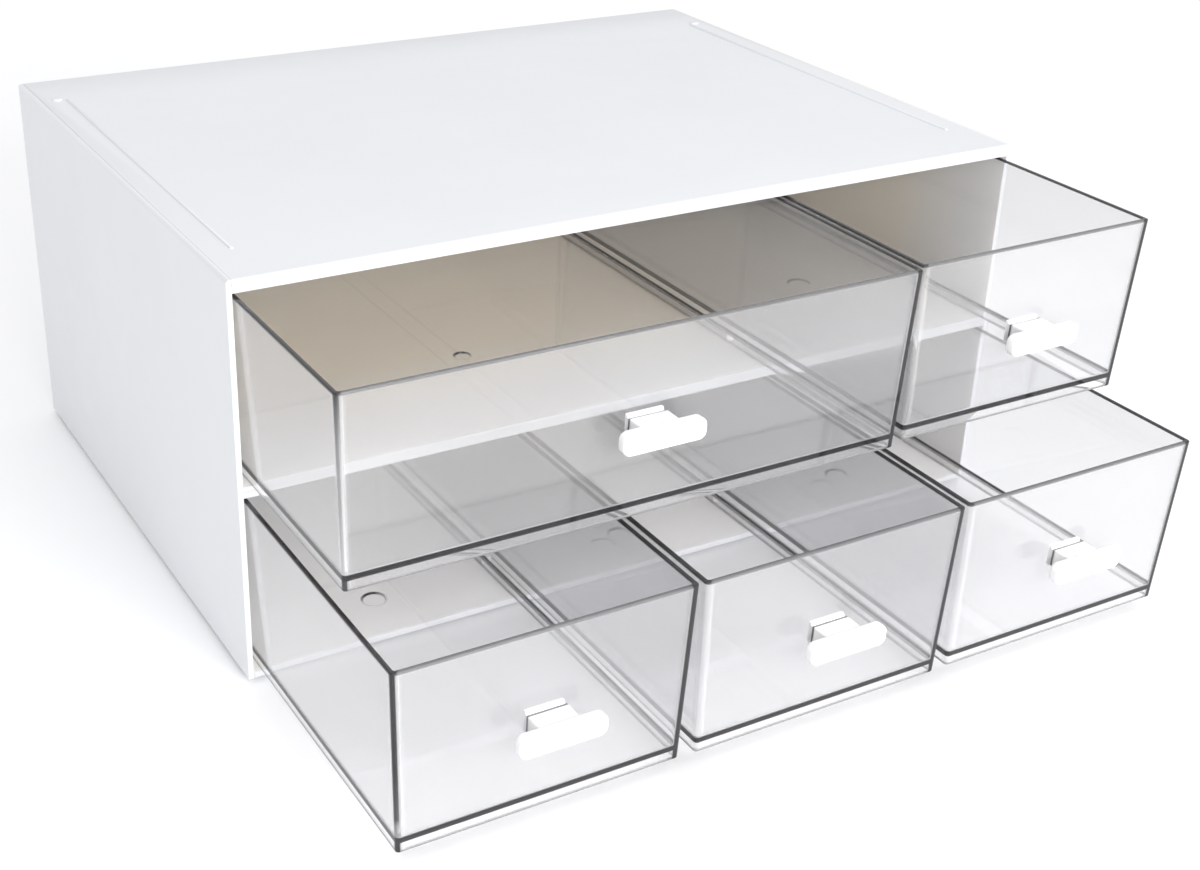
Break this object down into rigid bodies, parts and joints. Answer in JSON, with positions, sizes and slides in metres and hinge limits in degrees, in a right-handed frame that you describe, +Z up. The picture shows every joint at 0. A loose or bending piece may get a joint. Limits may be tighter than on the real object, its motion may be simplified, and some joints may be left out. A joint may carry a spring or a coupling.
{
  "type": "desk drawer organizer",
  "caption": "White desktop cabinet with stacked rows of clear pull-out tub drawers, wide and narrow, each opened by a white T-shaped pull.",
  "frame": {"origin": "centre of the overall footprint with the drawers standing open as stored, on the surface the feet stand on", "axes": "+Z up, drawer fronts facing -Y, +X to the right of someone facing the drawers"},
  "size_m": [0.36, 0.4012, 0.1678],
  "materials": {
    "white_shell": "satin moulded white",
    "clear_plastic": "clear polished moulding with dark refracting edges",
    "white_pull": "semi-gloss white",
    "foot_rubber": "matte grey"
  },
  "bodies": {
    "cabinet": {"left_side_panel": "white_shell", "right_side_panel": "white_shell", "top_panel": "white_shell", "middle_shelf": "white_shell", "bottom_panel": "white_shell", "back_panel": "white_shell", "front_left_foot": "foot_rubber", "front_right_foot": "foot_rubber", "back_left_foot": "foot_rubber", "back_right_foot": "foot_rubber"},
    "wide_drawer": {"wide_drawer_tub": "clear_plastic", "wide_drawer_handle": "white_pull"},
    "upper_right_drawer": {"upper_right_drawer_tub": "clear_plastic", "upper_right_drawer_handle": "white_pull"},
    "lower_left_drawer": {"lower_left_drawer_tub": "clear_plastic", "lower_left_drawer_handle": "white_pull"},
    "lower_middle_drawer": {"lower_middle_drawer_tub": "clear_plastic", "lower_middle_drawer_handle": "white_pull"},
    "lower_right_drawer": {"lower_right_drawer_tub": "clear_plastic", "lower_right_drawer_handle": "white_pull"}
  },
  "joints": [
    {"name": "wide_drawer_slide", "type": "slide", "parent": "cabinet", "child": "wide_drawer", "axis": [0, -1, 0], "range_m": [-0.086, 0.114]},
    {"name": "upper_right_drawer_slide", "type": "slide", "parent": "cabinet", "child": "upper_right_drawer", "axis": [0, -1, 0], "range_m": [-0.083, 0.117]},
    {"name": "lower_left_drawer_slide", "type": "slide", "parent": "cabinet", "child": "lower_left_drawer", "axis": [0, -1, 0], "range_m": [-0.124, 0.076]},
    {"name": "lower_middle_drawer_slide", "type": "slide", "parent": "cabinet", "child": "lower_middle_drawer", "axis": [0, -1, 0], "range_m": [-0.1245, 0.0755]},
    {"name": "lower_right_drawer_slide", "type": "slide", "parent": "cabinet", "child": "lower_right_drawer", "axis": [0, -1, 0], "range_m": [-0.124, 0.076]}
  ]
}
